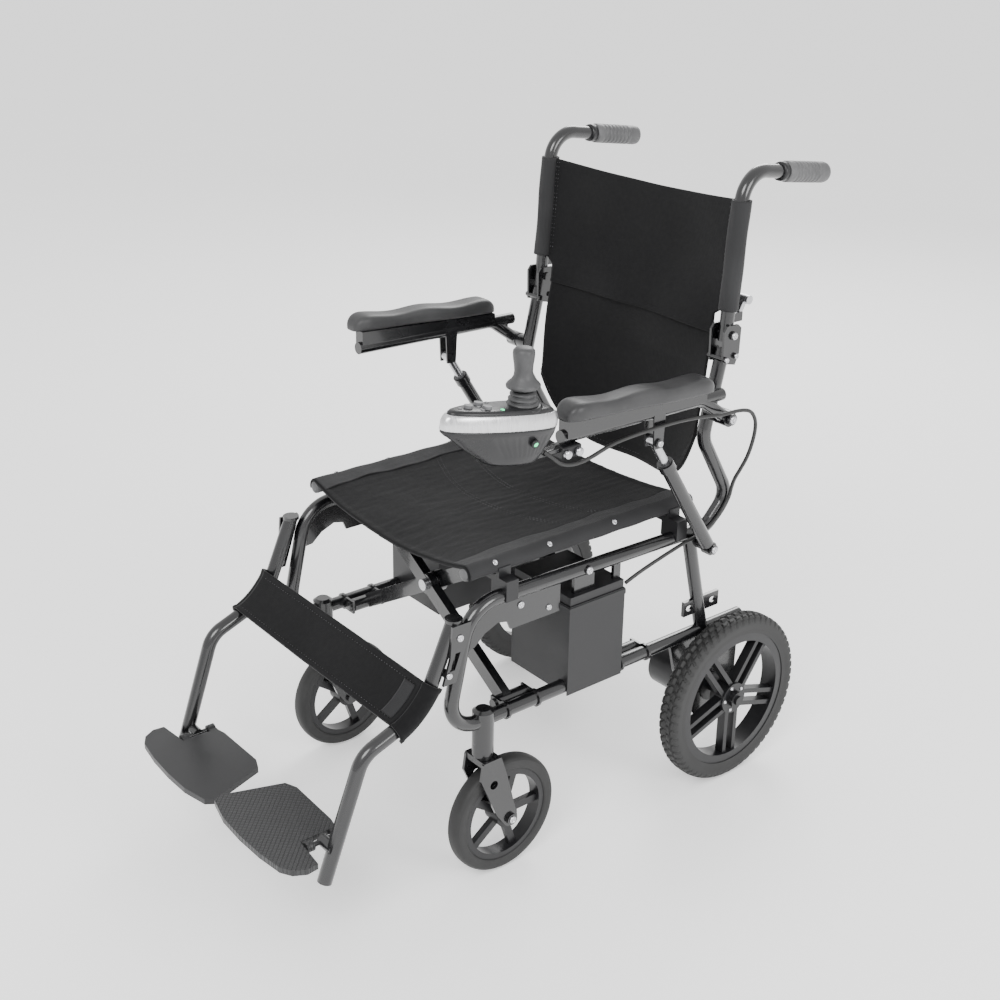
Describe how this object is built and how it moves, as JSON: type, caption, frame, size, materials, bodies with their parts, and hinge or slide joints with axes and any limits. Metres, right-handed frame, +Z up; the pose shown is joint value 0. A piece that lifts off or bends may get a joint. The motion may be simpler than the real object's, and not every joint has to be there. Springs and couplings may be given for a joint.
{
  "type": "folding power wheelchair",
  "caption": "Folding power wheelchair with sling seat, flip-up arms, joystick controller, hub-side gearmotors, swivel casters and flip-up footplates.",
  "frame": {"origin": "centre of the footprint box on the floor", "axes": "+Z up, -Y is the chair's front, +X is the sitter's left"},
  "size_m": [0.5723, 1.0201, 1.0277],
  "materials": {
    "frame": "gloss",
    "steel": "polished",
    "rim": "satin",
    "tyre": "matte",
    "plastic": "satin",
    "pod": "gloss",
    "pod_top": "satin",
    "cloth": "matte",
    "pad": "matte",
    "grip": "matte",
    "plate": "matte",
    "motor": "satin",
    "cell": "satin",
    "cable": "matte",
    "button": "satin"
  },
  "bodies": {
    "frame_left": {"side_frame_left": "frame", "brace_pivots_left": "frame", "rail_saddles_left": "plastic", "leg_hanger_left": "frame", "gearmotor_left": "motor", "battery_case_left": "plastic", "battery_left": "cell", "back_flap": "cloth", "calf_strap": "cloth", "pod_cable": "cable"},
    "brace_a": {"brace_arm_a": "frame", "brace_bolts": "steel", "seat_rail_right": "frame", "seat_sling": "cloth"},
    "brace_b": {"brace_arm_b": "frame", "seat_rail_left": "frame"},
    "frame_right": {"side_frame_right": "frame", "brace_pivots_right": "frame", "rail_saddles_right": "plastic", "leg_hanger_right": "frame", "gearmotor_right": "motor", "battery_case_right": "plastic", "battery_right": "cell"},
    "back_left": {"back_post_left": "frame", "push_grip_left": "grip", "back_cloth": "cloth"},
    "back_right": {"back_post_right": "frame", "push_grip_right": "grip"},
    "armrest_left": {"armrest_tube_left": "frame", "arm_pad_left": "pad", "pod_base": "pod", "pod_deck": "pod_top", "joystick_boot": "cable"},
    "armrest_right": {"armrest_tube_right": "frame", "arm_pad_right": "pad"},
    "back_latch_left": {"back_latch_left": "steel"},
    "strut_sleeve_left": {"strut_sleeve_left": "frame"},
    "strut_rod_left": {"strut_rod_left": "steel"},
    "footplate_left": {"footplate_left": "plate"},
    "caster_fork_left": {"caster_fork_left": "frame"},
    "caster_wheel_left": {"caster_rim_left": "rim", "caster_tyre_left": "tyre"},
    "rear_wheel_left": {"rear_rim_left": "rim", "rear_tyre_left": "tyre"},
    "clutch_lever_left": {"clutch_lever_left": "plastic"},
    "back_latch_right": {"back_latch_right": "steel"},
    "strut_sleeve_right": {"strut_sleeve_right": "frame"},
    "strut_rod_right": {"strut_rod_right": "steel"},
    "footplate_right": {"footplate_right": "plate"},
    "caster_fork_right": {"caster_fork_right": "frame"},
    "caster_wheel_right": {"caster_rim_right": "rim", "caster_tyre_right": "tyre"},
    "rear_wheel_right": {"rear_rim_right": "rim", "rear_tyre_right": "tyre"},
    "clutch_lever_right": {"clutch_lever_right": "plastic"},
    "joystick_gimbal": {"joystick_gimbal": "steel"},
    "joystick": {"joystick": "grip"},
    "power_button": {"power_button": "button"},
    "slower_button": {"slower_button": "button"},
    "faster_button": {"faster_button": "button"}
  },
  "joints": [
    {"name": "fold", "type": "hinge", "parent": "frame_left", "child": "brace_a", "pos_m": [0.194, 0.022, 0.27], "axis": [0, 1, 0], "range_deg": [0, 30], "deforming": ["seat_sling", "back_cloth", "back_flap", "calf_strap"]},
    {"name": "brace_cross", "type": "hinge", "parent": "brace_a", "child": "brace_b", "pos_m": [0, 0.022, 0.38541], "axis": [0, -1, 0], "range_deg": [0, 60]},
    {"name": "frame_swing", "type": "hinge", "parent": "brace_b", "child": "frame_right", "pos_m": [-0.194, 0.022, 0.27], "axis": [0, 1, 0], "range_deg": [0, 30]},
    {"name": "back_fold_left", "type": "hinge", "parent": "frame_left", "child": "back_left", "pos_m": [0.217, 0.301, 0.775], "axis": [-1, 0, 0], "range_deg": [0, 95]},
    {"name": "back_fold_right", "type": "hinge", "parent": "frame_right", "child": "back_right", "pos_m": [-0.217, 0.301, 0.775], "axis": [-1, 0, 0], "range_deg": [0, 95]},
    {"name": "armrest_flip_left", "type": "hinge", "parent": "frame_left", "child": "armrest_left", "pos_m": [0.25075, 0.275, 0.655], "axis": [-1, 0, 0], "range_deg": [0, 75], "deforming": ["pod_cable"]},
    {"name": "strut_turn_left", "type": "hinge", "parent": "frame_left", "child": "strut_sleeve_left", "pos_m": [0.25075, 0.261, 0.439], "axis": [-1, 0, 0], "range_deg": [0, 28.3]},
    {"name": "strut_slide_left", "type": "slide", "parent": "strut_sleeve_left", "child": "strut_rod_left", "axis": [0, -0.5446, 0.8387], "range_m": [0, 0.11032]},
    {"name": "armrest_flip_right", "type": "hinge", "parent": "frame_right", "child": "armrest_right", "pos_m": [-0.25075, 0.275, 0.655], "axis": [-1, 0, 0], "range_deg": [0, 75]},
    {"name": "strut_turn_right", "type": "hinge", "parent": "frame_right", "child": "strut_sleeve_right", "pos_m": [-0.25075, 0.261, 0.439], "axis": [-1, 0, 0], "range_deg": [0, 28.3]},
    {"name": "strut_slide_right", "type": "slide", "parent": "strut_sleeve_right", "child": "strut_rod_right", "axis": [0, -0.5446, 0.8387], "range_m": [0, 0.11032]},
    {"name": "back_latch_left", "type": "hinge", "parent": "back_left", "child": "back_latch_left", "pos_m": [0.217, 0.322, 0.8], "axis": [-1, 0, 0], "range_deg": [0, 22], "stiffness_Nm_per_rad": 0.3},
    {"name": "footplate_flip_left", "type": "hinge", "parent": "frame_left", "child": "footplate_left", "pos_m": [0.186, -0.42, 0.1565], "axis": [0, 1, 0], "range_deg": [0, 90]},
    {"name": "caster_swivel_left", "type": "hinge", "parent": "frame_left", "child": "caster_fork_left", "pos_m": [0.217, -0.162, 0.24], "axis": [0, 0, 1], "continuous": true},
    {"name": "caster_roll_left", "type": "hinge", "parent": "caster_fork_left", "child": "caster_wheel_left", "pos_m": [0.217, -0.125, 0.095], "axis": [1, 0, 0], "continuous": true},
    {"name": "wheel_roll_left", "type": "hinge", "parent": "frame_left", "child": "rear_wheel_left", "pos_m": [0.253, 0.332, 0.1475], "axis": [1, 0, 0], "continuous": true},
    {"name": "clutch_turn_left", "type": "hinge", "parent": "frame_left", "child": "clutch_lever_left", "pos_m": [0.195, 0.39, 0.1615], "axis": [0, -1, 0], "range_deg": [0, 60]},
    {"name": "back_latch_right", "type": "hinge", "parent": "back_right", "child": "back_latch_right", "pos_m": [-0.217, 0.322, 0.8], "axis": [-1, 0, 0], "range_deg": [0, 22], "stiffness_Nm_per_rad": 0.3},
    {"name": "footplate_flip_right", "type": "hinge", "parent": "frame_right", "child": "footplate_right", "pos_m": [-0.186, -0.42, 0.1405], "axis": [0, -1, 0], "range_deg": [0, 90]},
    {"name": "caster_swivel_right", "type": "hinge", "parent": "frame_right", "child": "caster_fork_right", "pos_m": [-0.217, -0.162, 0.24], "axis": [0, 0, 1], "continuous": true},
    {"name": "caster_roll_right", "type": "hinge", "parent": "caster_fork_right", "child": "caster_wheel_right", "pos_m": [-0.217, -0.125, 0.095], "axis": [1, 0, 0], "continuous": true},
    {"name": "wheel_roll_right", "type": "hinge", "parent": "frame_right", "child": "rear_wheel_right", "pos_m": [-0.253, 0.332, 0.1475], "axis": [1, 0, 0], "continuous": true},
    {"name": "clutch_turn_right", "type": "hinge", "parent": "frame_right", "child": "clutch_lever_right", "pos_m": [-0.195, 0.39, 0.1615], "axis": [0, 1, 0], "range_deg": [0, 60]},
    {"name": "stick_tilt_fore", "type": "hinge", "parent": "armrest_left", "child": "joystick_gimbal", "pos_m": [0.256, -0.133, 0.76], "axis": [1, 0, 0], "range_deg": [-18, 18], "stiffness_Nm_per_rad": 0.4, "deforming": ["joystick_boot"]},
    {"name": "stick_tilt_side", "type": "hinge", "parent": "joystick_gimbal", "child": "joystick", "pos_m": [0.256, -0.133, 0.76], "axis": [0, 1, 0], "range_deg": [-18, 18], "stiffness_Nm_per_rad": 0.4},
    {"name": "power_button_press", "type": "slide", "parent": "armrest_left", "child": "power_button", "axis": [0, -0.1564, -0.9877], "range_m": [0, 0.0012], "stiffness_N_per_m": 600},
    {"name": "slower_button_press", "type": "slide", "parent": "armrest_left", "child": "slower_button", "axis": [0, -0.1564, -0.9877], "range_m": [0, 0.0012], "stiffness_N_per_m": 600},
    {"name": "faster_button_press", "type": "slide", "parent": "armrest_left", "child": "faster_button", "axis": [0, -0.1564, -0.9877], "range_m": [0, 0.0012], "stiffness_N_per_m": 600}
  ],
  "couplings": [
    {"joint": "brace_cross", "follows": "fold", "ratio": 2},
    {"joint": "frame_swing", "follows": "fold", "ratio": 1},
    {"joint": "back_fold_right", "follows": "back_fold_left", "ratio": 1},
    {"joint": "strut_turn_left", "follows": "armrest_flip_left", "ratio": 0.37671},
    {"joint": "strut_slide_left", "follows": "armrest_flip_left", "m_per_rad": 0.084205},
    {"joint": "strut_turn_right", "follows": "armrest_flip_right", "ratio": 0.37671},
    {"joint": "strut_slide_right", "follows": "armrest_flip_right", "m_per_rad": 0.084205}
  ]
}
